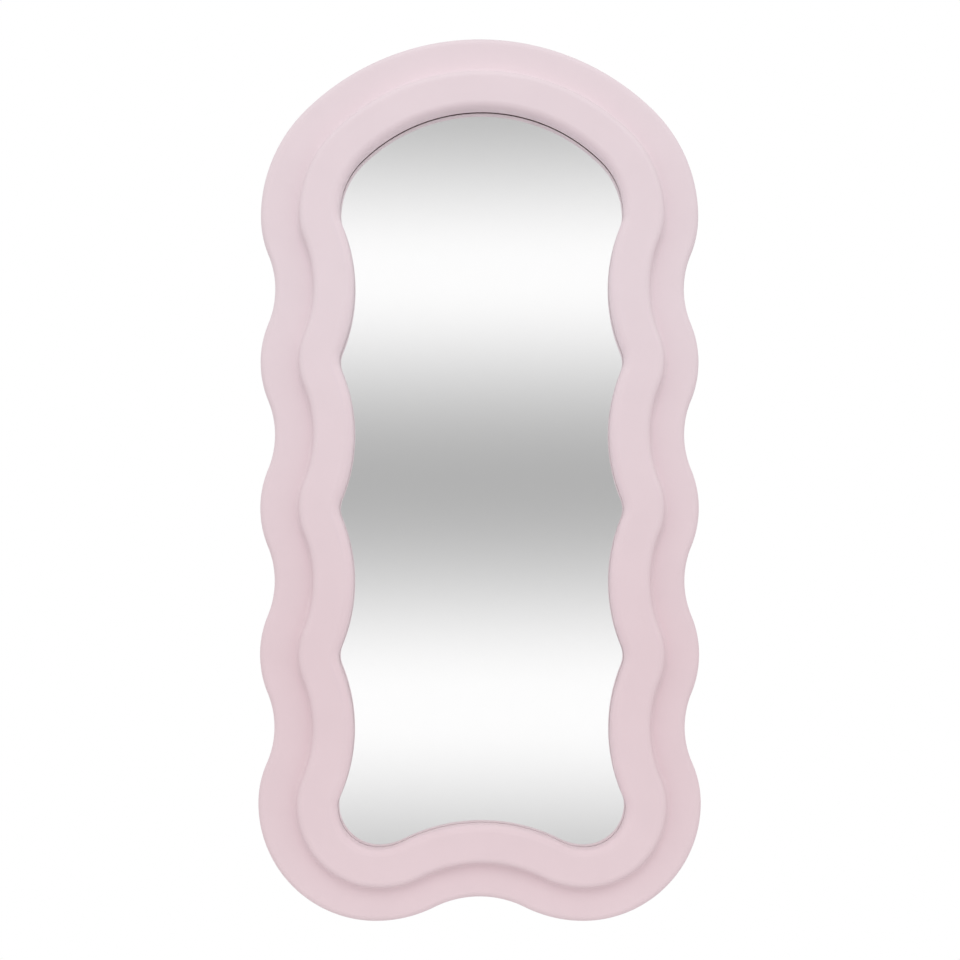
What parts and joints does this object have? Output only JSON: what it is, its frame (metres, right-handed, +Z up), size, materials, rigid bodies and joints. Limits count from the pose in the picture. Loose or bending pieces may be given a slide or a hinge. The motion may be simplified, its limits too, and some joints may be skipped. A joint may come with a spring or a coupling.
{
  "type": "wall mirror",
  "caption": "Tall arched wall mirror with a wavy, two-step lacquered frame, screwed back board and D-ring hangers.",
  "frame": {"origin": "on the wall plane, midway between the two wall hooks that carry the rings when they are turned up", "axes": "+Z up, +X to the right as seen from the front, +Y into the wall, so the mirror faces -Y"},
  "size_m": [0.5, 0.042, 0.9997],
  "materials": {
    "frame_lacquer": "matte",
    "mirror": "polished",
    "bedding_tape": "matte",
    "safety_film": "satin",
    "foam": "matte",
    "hardboard": "matte",
    "zinc_steel": "satin",
    "ring_wire": "satin",
    "bumper_rubber": "matte"
  },
  "bodies": {
    "frame": {"frame_rear_board": "frame_lacquer", "frame_front_ring": "frame_lacquer", "ring_screws": "zinc_steel", "glass_bedding_tape": "bedding_tape", "mirror_glass": "mirror", "safety_film": "safety_film", "foam_sheet": "foam", "back_board": "hardboard", "back_board_screws": "zinc_steel", "hanger_plate_left": "zinc_steel", "hanger_plate_right": "zinc_steel", "hanger_screws_left": "zinc_steel", "hanger_screws_right": "zinc_steel", "wall_bumper_top_left": "bumper_rubber", "wall_bumper_top_right": "bumper_rubber", "wall_bumper_bottom_left": "bumper_rubber", "wall_bumper_bottom_right": "bumper_rubber"},
    "ring_left": {"hanger_ring_left": "ring_wire"},
    "ring_right": {"hanger_ring_right": "ring_wire"}
  },
  "joints": [
    {"name": "ring_left_hinge", "type": "hinge", "parent": "frame", "child": "ring_left", "pos_m": [-0.2, -0.0035, -0.01875], "axis": [1, 0, 0], "range_deg": [0, 180]},
    {"name": "ring_right_hinge", "type": "hinge", "parent": "frame", "child": "ring_right", "pos_m": [0.2, -0.0035, -0.01875], "axis": [1, 0, 0], "range_deg": [0, 180]}
  ]
}
